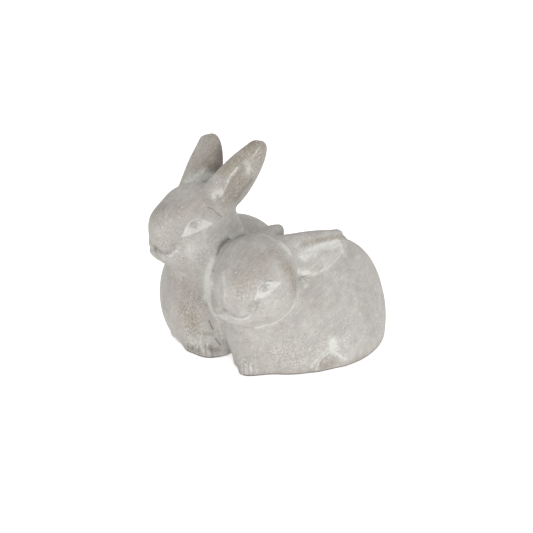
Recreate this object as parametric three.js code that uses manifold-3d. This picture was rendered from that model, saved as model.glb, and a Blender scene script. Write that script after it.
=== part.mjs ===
// Two rabbits nestled side by side: a small garden ornament, cast in one piece in pale cement.
// The upright rabbit sits up with its ears raised. The resting rabbit tucks its head against
// the other's chest and lays its ears back.
//
// Millimetres, +Z up. The faces look towards -X, the show side is -Y, and each rabbit's left
// is therefore -Y. The origin is the middle of the footprint, on the surface it stands on.
//
// The casting is written as one soft-edged form: a function that gives the distance from a
// point to the surface, negative inside. Each named piece is a sphere whose points are pushed
// out to that form, and thin cuts part the pieces from their neighbours.

import * as THREE from 'three';
import { mergeVertices } from 'three/addons/utils/BufferGeometryUtils.js';
import Module from 'manifold-3d';

const wasm = await Module();
wasm.setup();

// ---------------------------------------------------------------- driving sizes, mm and degrees

const PART_LINE = 0.35;      // the thin cut between two neighbouring pieces
const PIECE_REACH = 2.4;     // how far a piece follows a soft joint beyond its own shape
const EYE_REACH = 0.2;       // the same for an eye, which sits in its socket
const OVERLAP = 3;           // how much further its skin runs on before it is trimmed
const TOUCH = 12;            // softness of the crease where the two rabbits touch
const STEP = 0.8;            // least stride of the search for the surface along a ray
const HALVINGS = 14;         // halvings that settle each point on the surface

// The head, in its own frame: the nose points along -x, the crown along +z.
const HEAD = {
  skull: { at: [3, 0, 4] },
  cheek: { forward: 3, drop: 8.5, soft: 9 },
  jaw: { at: [-13.5, 0, -2], radii: [12, 8, 12], soft: 8 },
  chin: { at: [-12, 0, -16.6], radii: [9.6, 9, 6.3], soft: 8 },
  muzzle: { at: [-19, 0, -7.5], radii: [10, 11, 9.5], soft: 6 },
  lip: { forward: 20.5, aside: 6, drop: 8, radii: [8.5, 8, 7.5], soft: 5 },
  brow: { at: [-17, 0, 6], radii: [12, 12, 12], soft: 8 },
  socket: { radii: [8.5, 4.4, 3.2], lift: 2.2, soft: 3 },
  eye: { sink: 1, soft: 0.8 },
  gaze: [-0.45, 0.87, 0.12],       // the way an eye looks, for the +y side
  slant: [-0.8, -0.35, -0.33],     // the way its front corner points, for the +y side
};

const UPRIGHT = {
  head: {
    at: [-49.5, 25.5, 84.5], yaw: -2, pitch: 6, roll: -5, scale: 1, soft: 12,
    skull: [25, 22.5, 22.5], cheek: [16, 13.5, 14.5], cheekAside: 10.5, eye: [-11, 21.1, 7.6],
    eyeball: [3.9, 2, 2.1],
  },
  neck: {
    throat: { at: [-30, 29, 62], radii: [19, 23, 32] },
    nape: { at: [-25, 26, 70], radii: [13, 15, 20], soft: 6 },
    fold: { at: [-42.5, 14, 60], radii: [14, 14, 17], soft: 10 },
    soft: 6,
  },
  trunk: {
    back: { at: [-6, 38, 28], radii: [45, 32, 51] },
    rump: { at: [20, 41, 14], radii: [42, 28, 36], soft: 16 },
    chest: { at: [-35.5, 33.5, 32], radii: [25.5, 30, 38], soft: 14 },
  },
  hindLeg: {
    thigh: { at: [20, 54, 12], radii: [32, 17, 31], yaw: -8, soft: 5 },
    foot: { from: [-38, 50, 2], to: [0, 63, 3], thick: [9, 9], soft: 2 },
  },
  foreLegs: { left: [-42.5, 12.5, 1], right: [-43.5, 23.5, 1], radii: [12.5, 9.5, 13], soft: 8 },
  tail: { at: [61, 42, 13], radii: [9, 9, 10], soft: 2 },
  ears: {
    left: {
      root: [-34.2, 16.4, 100.7], along: [0.625, -0.22, 0.734], open: [0.1, -1, 0.2],
      size: [43.6, 26.4, 12], taper: 0.47, slit: [0.42, 0.14, 0.22, 0.07],
    },
    right: {
      root: [-37.2, 35.7, 94.5], along: [0.53, 0.243, 0.829], open: [0.45, 1, 0.1],
      size: [45.5, 25.3, 12], taper: 0.39, slit: [0.42, 0.14, 0.22, 0.07],
    },
    soft: 3.5,
  },
};

const RESTING = {
  head: {
    at: [-43, -26.5, 61.5], yaw: 9, pitch: 12, roll: -6, scale: 1.04, soft: 6,
    skull: [25, 24, 21], cheek: [16, 14, 13.5], cheekAside: 12, eye: [-12.6, 21.1, 4.2],
    eyeball: [4.8, 2.5, 2.2],
  },
  trunk: {
    back: { at: [19, -25, 11], radii: [58, 30.5, 61], yaw: 12 },
    chest: { at: [-28, -19.5, 29], radii: [27, 24, 35], soft: 14 },
  },
  hindLeg: {
    thigh: { at: [31, -38.5, 10], radii: [39.5, 18.5, 38], yaw: 24, soft: 5 },
    foot: { from: [-13, -50.5, 1], to: [4, -52, 3], thick: [4.5, 9], soft: 2 },
  },
  foreLegs: { left: [-37.5, -26.5, 1], right: [-30, -14, 1], radii: [16.5, 9, 12], soft: 8 },
  tail: { at: [70, -13, 14], radii: [8, 9, 10], soft: 2 },
  ears: {
    left: {
      root: [-24, -34, 71.7], along: [1, -0.02, 0.015], open: [-0.1, -0.75, 0.65],
      size: [50, 26, 12], taper: 0.4, slit: [0.56, -0.07, 0.42, 0.11],
    },
    right: {
      root: [-26.5, -14.5, 79], along: [0.8, 0.52, -0.15], open: [0.1, 0.5, 0.8],
      size: [35, 19, 13.5], taper: 0.1, slit: [0.5, 0, 0.2, 0.07],
    },
    soft: 3,
  },
};

// An ear lies along x, with its open side on +z and its front edge on +y. These are shares of its
// length for x, of its width for y and of its thickness for z. Softness is in mm. Each ear's own
// slit gives its middle along and across the ear, then half its length and half its width.
const EAR = {
  leaf: { middle: 0.43, reach: 0.62, bluntness: 2.2 },
  roll: { from: [0.05, 0.27, 0.1], to: [0.9, 0.22, 0.1], thick: [0.23, 0.17], soft: 2 },
  slit: { lift: 0.75, depth: 0.36, soft: 2 },
};

// Facets round and along each kind of piece, and those of its part line.
const FACETS = {
  eye: { skin: [8, 6], line: [8, 6] },
  head: { skin: [26, 17], line: [13, 8] },
  ear: { skin: [14, 12], line: [10, 8] },
  neck: { skin: [14, 8], line: [12, 7] },
  fore_leg: { skin: [12, 8], line: [8, 6] },
  hind_leg: { skin: [16, 12], line: [12, 8] },
  tail: { skin: [9, 7], line: [9, 6] },
  trunk: { skin: [20, 13], line: [14, 9] },
};

// ---------------------------------------------------------------- forms

const vector = (xyz) => new THREE.Vector3(...xyz);

const softMin = (a, b, soft) => Math.min(a, b) - Math.max(soft - Math.abs(a - b), 0) ** 2 / (4 * soft);

const ellipsoid = ([x, y, z], [rx, ry, rz]) => (p) => {
  const near = Math.hypot((p.x - x) / rx, (p.y - y) / ry, (p.z - z) / rz);
  const steep = Math.hypot((p.x - x) / rx ** 2, (p.y - y) / ry ** 2, (p.z - z) / rz ** 2);
  return near * (near - 1) / Math.max(steep, 1e-9);
};

// An ellipsoid whose ends along x are the blunter, the more its power is over 2.
const bluntLeaf = (middle, [rx, ry, rz], power) => (p) => {
  const along = Math.abs(p.x - middle) / rx;
  const across = Math.hypot(p.y / ry, p.z / rz);
  const near = Math.max((along ** power + across ** power) ** (1 / power), 1e-6);
  const slope = Math.hypot(p.y / ry ** 2, p.z / rz ** 2) / Math.max(across, 1e-6);
  const steep = Math.hypot((along / near) ** (power - 1) / rx, (across / near) ** (power - 1) * slope);
  return (near - 1) / Math.max(steep, 1e-6);
};

// A rod with round ends that grows from one thickness to the other.
const taperedRod = (from, to, [thickFrom, thickTo]) => {
  const start = vector(from);
  const run = vector(to).sub(start);
  const point = new THREE.Vector3();
  return (p) => {
    const share = THREE.MathUtils.clamp(point.copy(p).sub(start).dot(run) / run.lengthSq(), 0, 1);
    return point.addScaledVector(run, -share).length() - THREE.MathUtils.lerp(thickFrom, thickTo, share);
  };
};

const join = (first, second, soft) => (p) => softMin(first(p), second(p), soft);
const carve = (form, tool, soft) => (p) => -softMin(-form(p), tool(p), soft);

const placed = (form, matrix) => {
  const inverse = matrix.clone().invert();
  const size = matrix.getMaxScaleOnAxis();
  const local = new THREE.Vector3();
  return (p) => form(local.copy(p).applyMatrix4(inverse)) * size;
};

// A part's place: yaw turns the nose towards -y, pitch dips it, roll tips it sideways.
function turned({ at, yaw = 0, pitch = 0, roll = 0, scale = 1 }) {
  const { degToRad } = THREE.MathUtils;
  const euler = new THREE.Euler(degToRad(roll), degToRad(-pitch), degToRad(yaw), 'ZYX');
  const quaternion = new THREE.Quaternion().setFromEuler(euler);
  return new THREE.Matrix4().compose(vector(at), quaternion, new THREE.Vector3(scale, scale, scale));
}

// A frame at a point, x along one direction and z as near as can be to another.
function aimed(at, along, open) {
  const x = vector(along).normalize();
  const z = vector(open).addScaledVector(x, -x.dot(vector(open))).normalize();
  const y = new THREE.Vector3().crossVectors(z, x);
  return new THREE.Matrix4().makeBasis(x, y, z).setPosition(vector(at));
}

// ---------------------------------------------------------------- head, eyes and ears

const SIDES = { left: -1, right: 1 };

// The frame of an eye in the head's frame: x towards the front corner, z the way it looks.
function eyeFrame(head, side) {
  const mirror = ([x, y, z]) => [x, y * side, z];
  const z = vector(mirror(HEAD.gaze)).normalize();
  const slant = vector(mirror(HEAD.slant));
  const x = slant.addScaledVector(z, -z.dot(slant)).normalize();
  const y = new THREE.Vector3().crossVectors(z, x);
  return new THREE.Matrix4().makeBasis(x, y, z).setPosition(vector(mirror(head.eye)));
}

const eyeballForm = (head, side) =>
  placed(ellipsoid([0, 0, -HEAD.eye.sink], head.eyeball), eyeFrame(head, side));
const socketForm = (head, side) =>
  placed(ellipsoid([0, 0, HEAD.socket.lift], HEAD.socket.radii), eyeFrame(head, side));

function headForm(head) {
  const { skull, cheek, jaw, chin, muzzle, lip, brow, socket, eye } = HEAD;
  const sides = Object.values(SIDES);
  let form = ellipsoid(skull.at, head.skull);
  for (const side of sides) {
    const at = [-cheek.forward, side * head.cheekAside, -cheek.drop];
    form = join(form, ellipsoid(at, head.cheek), cheek.soft);
  }
  form = join(form, ellipsoid(jaw.at, jaw.radii), jaw.soft);
  form = join(form, ellipsoid(chin.at, chin.radii), chin.soft);
  let snout = ellipsoid(muzzle.at, muzzle.radii);
  for (const side of sides) {
    snout = join(snout, ellipsoid([-lip.forward, side * lip.aside, -lip.drop], lip.radii), lip.soft);
  }
  form = join(form, snout, muzzle.soft);
  form = join(form, ellipsoid(brow.at, brow.radii), brow.soft);
  for (const side of sides) {
    form = carve(form, socketForm(head, side), socket.soft);
    form = join(form, eyeballForm(head, side), eye.soft);
  }
  return form;
}

// A leaf of an ear, narrowing to a blunt tip, with a rolled front edge and a slit behind it.
function earForm({ size, taper, slit: [along, across, halfLength, halfWidth] }, side) {
  const [length, width, thick] = size;
  const shares = (xyz) => xyz.map((share, i) => share * size[i]);
  const { leaf, roll, slit } = EAR;
  const blade = bluntLeaf(length * leaf.middle, [length * leaf.reach, width / 2, thick / 2], leaf.bluntness);
  const rim = taperedRod(shares(roll.from), shares(roll.to), roll.thick.map((share) => share * width));
  const cut = ellipsoid(shares([along, across, slit.lift]), shares([halfLength, halfWidth, slit.depth]));
  const whole = carve(join(blade, rim, roll.soft), cut, slit.soft);
  const local = new THREE.Vector3();
  return (p) => {
    const narrowing = 1 - taper * (THREE.MathUtils.clamp(p.x / length, -0.2, 1.2) - 0.5);
    return whole(local.set(p.x, -side * p.y / narrowing, p.z));
  };
}

// ---------------------------------------------------------------- the pieces and the whole form

const inFrame = (at) => new THREE.Matrix4().setPosition(vector(at));
const placedEllipsoid = (part) => placed(ellipsoid([0, 0, 0], part.radii), turned(part));
const joined = ([first, ...rest]) => rest.reduce(
  (form, part) => join(form, placedEllipsoid(part), part.soft), placedEllipsoid(first));

const pieces = [];

// A piece has its own form, the frame and proportions of the sphere that it is pushed out
// from, the softness of its joint with the rest, and its reach along that joint.
function addPiece(rabbit, kind, side, piece) {
  const name = [rabbit, kind, side].filter(Boolean).join('_');
  pieces.push({ name, rabbit, kind, reach: PIECE_REACH, ...piece });
}

function addEyes(rabbit, { head }) {
  const { sink, soft } = HEAD.eye;
  const seat = turned(head);
  for (const [side, sign] of Object.entries(SIDES)) {
    const frame = seat.clone().multiply(eyeFrame(head, sign)).multiply(inFrame([0, 0, -sink]));
    const form = placed(eyeballForm(head, sign), seat);
    addPiece(rabbit, 'eye', side, { form, frame, spread: head.eyeball, soft, reach: EYE_REACH });
  }
}

function addHead(rabbit, { head }) {
  const frame = turned(head);
  const form = placed(headForm(head), frame);
  addPiece(rabbit, 'head', null, { form, frame, spread: [1, 1, 1], soft: head.soft });
}

function addEars(rabbit, { ears }) {
  for (const [side, sign] of Object.entries(SIDES)) {
    const { root, along, open, size } = ears[side];
    const seat = aimed(root, along, open);
    const frame = seat.clone().multiply(inFrame([size[0] * EAR.leaf.middle, 0, -size[2] / 4]));
    const form = placed(earForm(ears[side], sign), seat);
    addPiece(rabbit, 'ear', side, { form, frame, spread: size, soft: ears.soft });
  }
}

function addNeck(rabbit, { neck: { throat, nape, fold, soft } }) {
  const frame = inFrame(throat.at);
  const form = joined([throat, nape, fold]);
  addPiece(rabbit, 'neck', null, { form, frame, spread: throat.radii, soft });
}

function addForeLegs(rabbit, { foreLegs }) {
  const { radii, soft } = foreLegs;
  for (const side of Object.keys(SIDES)) {
    const form = ellipsoid(foreLegs[side], radii);
    addPiece(rabbit, 'fore_leg', side, { form, frame: inFrame(foreLegs[side]), spread: radii, soft });
  }
}

function addHindLeg(rabbit, { hindLeg: { thigh, foot } }, side) {
  const sole = taperedRod(foot.from, foot.to, foot.thick);
  const form = join(placedEllipsoid(thigh), sole, foot.soft);
  const frame = turned(thigh);
  addPiece(rabbit, 'hind_leg', side, { form, frame, spread: thigh.radii, soft: thigh.soft });
}

function addTail(rabbit, { tail: { at, radii, soft } }) {
  addPiece(rabbit, 'tail', null, { form: ellipsoid(at, radii), frame: inFrame(at), spread: radii, soft });
}

function addTrunk(rabbit, { trunk }) {
  const parts = Object.values(trunk);
  const [{ at, radii }] = parts;
  addPiece(rabbit, 'trunk', null, { form: joined(parts), frame: inFrame(at), spread: radii });
}

// Later pieces give way to earlier ones where they meet.
addEyes('resting', RESTING);
addEyes('upright', UPRIGHT);
addEars('resting', RESTING);
addEars('upright', UPRIGHT);
addHead('resting', RESTING);
addHead('upright', UPRIGHT);
addNeck('upright', UPRIGHT);
addForeLegs('resting', RESTING);
addForeLegs('upright', UPRIGHT);
addHindLeg('resting', RESTING, 'left');
addHindLeg('upright', UPRIGHT, 'right');
addTail('resting', RESTING);
addTail('upright', UPRIGHT);
addTrunk('resting', RESTING);
addTrunk('upright', UPRIGHT);

// A rabbit's whole form grows from its trunk, one soft joint after another.
function rabbitForm(name) {
  const own = pieces.filter((piece) => piece.rabbit === name && piece.kind !== 'eye').reverse();
  return own.slice(1).reduce((form, piece) => join(form, piece.form, piece.soft), own[0].form);
}

const casting = join(rabbitForm('upright'), rabbitForm('resting'), TOUCH);

// ---------------------------------------------------------------- solids

// The distance along a ray from a point inside the form to its surface.
function reachOf(form, from, direction) {
  const point = new THREE.Vector3();
  const value = (distance) => form(point.copy(from).addScaledVector(direction, distance));
  let inside = 0;
  let outside = STEP;
  for (let depth = value(outside); depth < 0; depth = value(outside)) {
    inside = outside;
    outside += Math.max(STEP, -depth / 2);
  }
  for (let i = 0; i < HALVINGS; i += 1) {
    const middle = (inside + outside) / 2;
    if (value(middle) < 0) inside = middle;
    else outside = middle;
  }
  return inside;
}

// A closed solid from a geometry, its shared points merged.
function toSolid(geometry) {
  geometry.deleteAttribute('normal');
  geometry.deleteAttribute('uv');
  const merged = mergeVertices(geometry);
  const vertProperties = new Float32Array(merged.attributes.position.array);
  const triVerts = new Uint32Array(merged.index.array);
  return new wasm.Manifold(new wasm.Mesh({ numProp: 3, vertProperties, triVerts }));
}

// A sphere, its poles along the piece's length, pushed out from its centre to a form's surface.
function pushedOut({ frame, spread }, facets, form) {
  const from = new THREE.Vector3().setFromMatrixPosition(frame);
  const axes = new THREE.Matrix3().setFromMatrix4(frame);
  const sphere = new THREE.SphereGeometry(1, ...facets).rotateZ(Math.PI / 2);
  const points = sphere.attributes.position;
  const direction = new THREE.Vector3();
  for (let i = 0; i < points.count; i += 1) {
    direction.fromBufferAttribute(points, i).multiply(vector(spread)).applyMatrix3(axes).normalize();
    direction.multiplyScalar(reachOf(form, from, direction)).add(from);
    points.setXYZ(i, direction.x, direction.y, direction.z);
  }
  return toSolid(sphere);
}

// The casting's skin round a piece, running on past the piece's own end.
const skinOf = (piece) => pushedOut(piece, FACETS[piece.kind].skin,
  (p) => Math.max(casting(p), piece.form(p) - piece.reach - OVERLAP));

// The piece's part line, a closed surface that parts it from the rest, let out by a margin.
const partLineOf = (piece, margin) => pushedOut(piece, FACETS[piece.kind].line,
  (p) => piece.form(p) - piece.reach - margin);

const largestOf = (solid) => solid.decompose().reduce(
  (best, part) => (part.volume() > best.volume() ? part : best));

const GROUND = toSolid(new THREE.BoxGeometry(400, 400, 100).translate(0, 0, -50));

function toGeometry(solid) {
  const mesh = solid.getMesh();
  const geometry = new THREE.BufferGeometry();
  geometry.setAttribute('position', new THREE.BufferAttribute(mesh.vertProperties, 3));
  geometry.setIndex(new THREE.BufferAttribute(mesh.triVerts, 1));
  geometry.computeVertexNormals();
  return geometry;
}

// ---------------------------------------------------------------- the casting, piece by piece

const cement = () => new THREE.MeshStandardMaterial({ color: '#bbb7b0', roughness: 0.92, metalness: 0 });

const statue = new THREE.Group();
const partLines = [];
for (const piece of pieces) {
  let solid = skinOf(piece);
  if (piece !== pieces.at(-1)) solid = solid.intersect(partLineOf(piece, 0));
  for (const partLine of partLines) solid = solid.subtract(partLine);
  partLines.push(partLineOf(piece, PART_LINE));
  const mesh = new THREE.Mesh(toGeometry(largestOf(solid.subtract(GROUND))), cement());
  mesh.name = piece.name;
  statue.add(mesh);
}

// The origin moves to the middle of the footprint.
const box = new THREE.Box3().setFromObject(statue);
const middle = box.getCenter(new THREE.Vector3());
statue.position.set(-middle.x, -middle.y, -box.min.z);

export default statue;
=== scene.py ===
"""Two rabbits nestled side by side: a small garden ornament, cast in one piece in pale cement.

The upright rabbit sits up with its ears raised, and the resting rabbit lays its head against the
other's chest. The skin is one closed mesh of the whole casting. Its form is a function that gives
the distance from a point to the surface, negative inside, and the finer tooling is pressed into
it afterwards. Lengths are in millimetres until the skin is placed in the frame.
"""

import math
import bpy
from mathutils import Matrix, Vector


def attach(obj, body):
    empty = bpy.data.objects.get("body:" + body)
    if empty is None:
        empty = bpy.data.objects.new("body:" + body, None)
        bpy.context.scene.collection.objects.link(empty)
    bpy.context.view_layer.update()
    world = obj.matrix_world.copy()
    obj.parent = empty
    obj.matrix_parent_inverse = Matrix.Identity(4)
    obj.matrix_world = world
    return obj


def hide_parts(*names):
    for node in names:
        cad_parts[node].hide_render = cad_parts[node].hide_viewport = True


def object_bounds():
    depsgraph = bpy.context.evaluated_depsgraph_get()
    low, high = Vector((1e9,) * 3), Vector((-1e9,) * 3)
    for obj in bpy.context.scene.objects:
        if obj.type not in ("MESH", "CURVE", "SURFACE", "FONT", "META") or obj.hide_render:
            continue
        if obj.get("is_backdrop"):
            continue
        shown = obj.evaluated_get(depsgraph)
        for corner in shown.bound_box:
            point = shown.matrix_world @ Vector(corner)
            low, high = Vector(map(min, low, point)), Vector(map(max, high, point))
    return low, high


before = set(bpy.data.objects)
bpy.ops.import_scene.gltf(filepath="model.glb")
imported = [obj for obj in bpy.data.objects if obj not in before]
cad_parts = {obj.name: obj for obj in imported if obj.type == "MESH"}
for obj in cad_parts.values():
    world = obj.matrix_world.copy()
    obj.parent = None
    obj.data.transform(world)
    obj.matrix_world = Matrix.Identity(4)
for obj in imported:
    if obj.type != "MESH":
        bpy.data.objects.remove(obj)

from concurrent.futures import ThreadPoolExecutor
from types import SimpleNamespace as Shape

import bpy
import numpy as np

FRAME_LOW, FRAME_HIGH = (np.array(corner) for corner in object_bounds())

# ---------------------------------------------------------------- sizes, mm and degrees

TOUCH = 12  # softness of the crease where the two rabbits touch
BASE_EDGE = 1  # softness of the edge round the base
SEARCH_LOW, SEARCH_HIGH = (-82, -72, -3), (86, 84, 145)  # the box that is searched for the surface
GRID = 0.65  # the skin's mesh size, before the tooled places are made finer
BLOCK = 6  # grid steps in a block of the first, rough search for the surface
REFINEMENTS = 2  # times that the mesh at the tooled places is made twice as fine
TOOLING_MARGIN = 0.8  # how far round a tooled line the mesh is made finer
EYE_MARGIN = 8  # how far round the middle of an eyeball it is
LINE_POINTS = 6  # points along a line for each place that it is given by
LEFT, RIGHT = -1, 1  # the sides of a head: its left is towards -y
MM_PER_METRE = 1000.0

# The head, in its own frame: the nose points along -x, the crown along +z.
HEAD = Shape(
    skull=(3, 0, 4),
    cheek=Shape(forward=3, drop=8.5, soft=9),
    jaw=Shape(at=(-13.5, 0, -2), radii=(12, 8, 12), soft=8),
    chin=Shape(at=(-12, 0, -16.6), radii=(9.6, 9, 6.3), soft=8),
    muzzle=Shape(at=(-19, 0, -7.5), radii=(10, 11, 9.5), soft=6),
    lip=Shape(forward=20.5, aside=6, drop=8, radii=(8.5, 8, 7.5), soft=5),
    brow=Shape(at=(-17, 0, 6), radii=(12, 12, 12), soft=8),
    socket=Shape(radii=(8.5, 4.4, 3.2), lift=2.2, soft=3),
    eye=Shape(sink=1, soft=0.8),
    gaze=(-0.45, 0.87, 0.12),  # the way an eye looks, for the +y side
    slant=(-0.8, -0.35, -0.33),  # the way its front corner points, for the +y side
)

UPRIGHT = Shape(
    head=Shape(
        at=(-49.5, 25.5, 84.5), yaw=-2, pitch=6, roll=-5, scale=1, soft=12,
        skull=(25, 22.5, 22.5), cheek=(16, 13.5, 14.5), cheek_aside=10.5, eye=(-11, 21.1, 7.6),
        eyeball=(3.9, 2, 2.1),
    ),
    neck=[
        Shape(at=(-30, 29, 62), radii=(19, 23, 32)),
        Shape(at=(-25, 26, 70), radii=(13, 15, 20), soft=6),
        Shape(at=(-42.5, 14, 60), radii=(14, 14, 17), soft=10),
    ],
    neck_soft=6,
    trunk=[
        Shape(at=(-6, 38, 28), radii=(45, 32, 51)),
        Shape(at=(20, 41, 14), radii=(42, 28, 36), soft=16),
        Shape(at=(-35.5, 33.5, 32), radii=(25.5, 30, 38), soft=14),
    ],
    thigh=Shape(at=(20, 54, 12), radii=(32, 17, 31), yaw=-8, soft=5),
    foot=Shape(start=(-38, 50, 2), end=(0, 63, 3), thick=(9, 9), soft=2),
    fore_legs=Shape(left=(-42.5, 12.5, 1), right=(-43.5, 23.5, 1), radii=(12.5, 9.5, 13), soft=8),
    tail=Shape(at=(61, 42, 13), radii=(9, 9, 10), soft=2),
    ears=Shape(
        left=Shape(
            root=(-34.2, 16.4, 100.7), along=(0.625, -0.22, 0.734), open=(0.1, -1, 0.2),
            size=(43.6, 26.4, 12), taper=0.47, slit=(0.42, 0.14, 0.22, 0.07),
        ),
        right=Shape(
            root=(-37.2, 35.7, 94.5), along=(0.53, 0.243, 0.829), open=(0.45, 1, 0.1),
            size=(45.5, 25.3, 12), taper=0.39, slit=(0.42, 0.14, 0.22, 0.07),
        ),
        soft=3.5,
    ),
)

RESTING = Shape(
    head=Shape(
        at=(-43, -26.5, 61.5), yaw=9, pitch=12, roll=-6, scale=1.04, soft=6,
        skull=(25, 24, 21), cheek=(16, 14, 13.5), cheek_aside=12, eye=(-12.6, 21.1, 4.2),
        eyeball=(4.8, 2.5, 2.2),
    ),
    neck=[],
    trunk=[
        Shape(at=(19, -25, 11), radii=(58, 30.5, 61), yaw=12),
        Shape(at=(-28, -19.5, 29), radii=(27, 24, 35), soft=14),
    ],
    thigh=Shape(at=(31, -38.5, 10), radii=(39.5, 18.5, 38), yaw=24, soft=5),
    foot=Shape(start=(-13, -50.5, 1), end=(4, -52, 3), thick=(4.5, 9), soft=2),
    fore_legs=Shape(left=(-37.5, -26.5, 1), right=(-30, -14, 1), radii=(16.5, 9, 12), soft=8),
    tail=Shape(at=(70, -13, 14), radii=(8, 9, 10), soft=2),
    ears=Shape(
        left=Shape(
            root=(-24, -34, 71.7), along=(1, -0.02, 0.015), open=(-0.1, -0.75, 0.65),
            size=(50, 26, 12), taper=0.4, slit=(0.56, -0.07, 0.42, 0.11),
        ),
        right=Shape(
            root=(-26.5, -14.5, 79), along=(0.8, 0.52, -0.15), open=(0.1, 0.5, 0.8),
            size=(35, 19, 13.5), taper=0.1, slit=(0.5, 0, 0.2, 0.07),
        ),
        soft=3,
    ),
)

# An ear lies along x, with its open side on +z and its front edge on +y. These are shares of its
# length for x, of its width for y and of its thickness for z. The roll's thickness is a share of
# the width, softness is in mm, and the leaf's bluntness is its power as a blunt leaf. An ear tapers
# evenly between the shares of its length in taper_ends, and not beyond them. Each ear's own slit
# gives its middle along and across the ear, then half its length and half its width.
EAR = Shape(
    taper_ends=(-0.2, 1.2),
    leaf=Shape(middle=0.43, reach=0.62, bluntness=2.2),
    roll=Shape(start=(0.05, 0.27, 0.1), end=(0.9, 0.22, 0.1), thick=(0.23, 0.17), soft=2),
    slit=Shape(lift=0.75, depth=0.36, soft=2),
)

# A lens of whitewash lies round each eyeball, lowered and turned, and the ball's middle is wiped
# nearly bare. Both stand a little forward of the ball's own middle. A lens has half its length,
# then its reach above and below the line between its corners. The resting rabbit's lid is a high
# rim, and its pupil is a ring cut round a white dab, a painted highlight.
EYES = Shape(
    upright=Shape(
        forward=0.9, lens=(11.6, 7.6, 0.4), lowered=4.5, turn=9, ball=(2.9, 1.7, 1.7),
        rim=0, pupil=0, wash=0.8,
    ),
    resting=Shape(
        forward=0.7, lens=(9.6, 6, 1.6), lowered=3.2, turn=6, ball=(3.6, 2.2, 2.2),
        rim=0.35, pupil=0.3, wash=0.8,
    ),
)
LID = Shape(radii=(4.3, 2.8), width=0.6, wash=0.95)
# The pupil's ring, and the white dab in its middle, which is a painted highlight.
PUPIL = Shape(at=(-1.4, 0), radius=1.5, width=0.4, wash=0.7)
EYE_REACH = 12  # how far from the middle of an eyeball its finish goes
BALL_WIPED = 0.8

# ---------------------------------------------------------------- colours, finish, light, camera

# Colours of the cement and the whitewash, 0 to 255 as they are seen.
BARE_GREY = (142, 137, 131)
BARE_BROWN = (138, 131, 122)
RUBBED_BROWN = (136, 127, 113)
FILM_WHITE = (193, 191, 187)
DAUB_WHITE = (204, 205, 199)
# The dark of stains, also used for painted shade and the painted contact shadow at the base.
STAIN_AND_SHADE_DARK = (92, 84, 77)
HOLE_WHITE = (224, 223, 214)

FLOOR_SIZE = 12  # metres
FLOOR_WHITE = (0.92, 0.92, 0.92, 1)
FLOOR_GLOW = 0.5

# The whitewash film's cover, and how much of it is gone where it is rubbed and at the edges.
FILM = Shape(everywhere=0.515, rubbed=0.42, edge=0.15)
# Cells for air holes, the share of the cells that hold one, and a hole's size as shares of a cell.
HOLES = Shape(per_mm=0.55, everywhere=0.07, crowded=0.75, radius=0.11, spread=0.19)
STROKES = Shape(length=20, width=1, turn=(6, -25, 4))
# Painted contact shadow, with dirt, along the foot of the base, in full up to 0.3 mm and gone at
# 1.8 mm.
BASE_SHADOW_AND_DIRT = Shape(strength=1.1, start=1.2, height=1.5)
# Whitewash gathers in recesses. They are felt for at a close and a wide reach in mm off the skin.
RECESS = Shape(
    close=1.6, close_full=0.5, close_strength=0.8,
    wide=5, wide_start=0.12, wide_rise=0.7, wide_strength=0.5,
)
# An edge is where the form is thin at this reach in mm under the skin.
THIN = Shape(reach=5, full=0.5)

STUDIO = Shape(around=1.05, overhead=0.84, softbox=5.4)
CAMERA = Shape(azimuth=-42, elevation=20, distance=812, target=(-9, 0, 54), lens=85)

# ---------------------------------------------------------------- forms


def length_of(vectors):
    """The length of each of many vectors."""
    return np.sqrt(np.einsum("ij,ij->i", vectors, vectors))


def smooth(share):
    """An eased step: 0 below 0, 1 above 1."""
    share = np.clip(share, 0, 1)
    return share * share * (3 - 2 * share)


def soft_min(a, b, soft):
    """The smaller of two values, rounded off where they are about the same."""
    return np.minimum(a, b) - np.maximum(soft - np.abs(a - b), 0) ** 2 / (4 * soft)


def join(a, b, soft):
    """Two forms grown together, the crease between them filled softly."""
    return lambda p: soft_min(a(p), b(p), soft)


def carve(form, tool, soft):
    """A form with the shape of a tool taken out of it."""
    return lambda p: -soft_min(-form(p), tool(p), soft)


def ellipsoid(at, radii):
    at, radii = np.array(at, np.float32), np.array(radii, np.float32)

    def form(p):
        q = (p - at) / radii
        near = length_of(q)
        steep = length_of(q / radii)
        return near * (near - 1) / np.maximum(steep, 1e-9)

    return form


def blunt_leaf(at, radii, power):
    """An ellipsoid whose ends along x are the blunter, the more its power is over 2."""
    at, radii = np.array(at, np.float32), np.array(radii, np.float32)

    def form(p):
        q = (p - at) / radii
        along, across = np.abs(q[:, 0]), length_of(q[:, 1:])
        near = np.maximum((along**power + across**power) ** (1 / power), 1e-6)
        steep = length_of((q / radii)[:, 1:]) / np.maximum(across, 1e-6)
        ahead = (along / near) ** (power - 1) / radii[0]
        aside = (across / near) ** (power - 1) * steep
        steep = np.hypot(ahead, aside)
        return (near - 1) / np.maximum(steep, 1e-6)

    return form


def tapered_rod(start, end, thick):
    """A rod with round ends that grows from one thickness to the other."""
    start, end = np.array(start, np.float32), np.array(end, np.float32)
    run = end - start

    def form(p):
        share = np.clip((p - start) @ run / (run @ run), 0, 1)
        across = length_of(p - start - share[:, None] * run)
        return across - (thick[0] + (thick[1] - thick[0]) * share)

    return form


def unit(vector):
    vector = np.array(vector, float)
    return vector / np.linalg.norm(vector)


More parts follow.
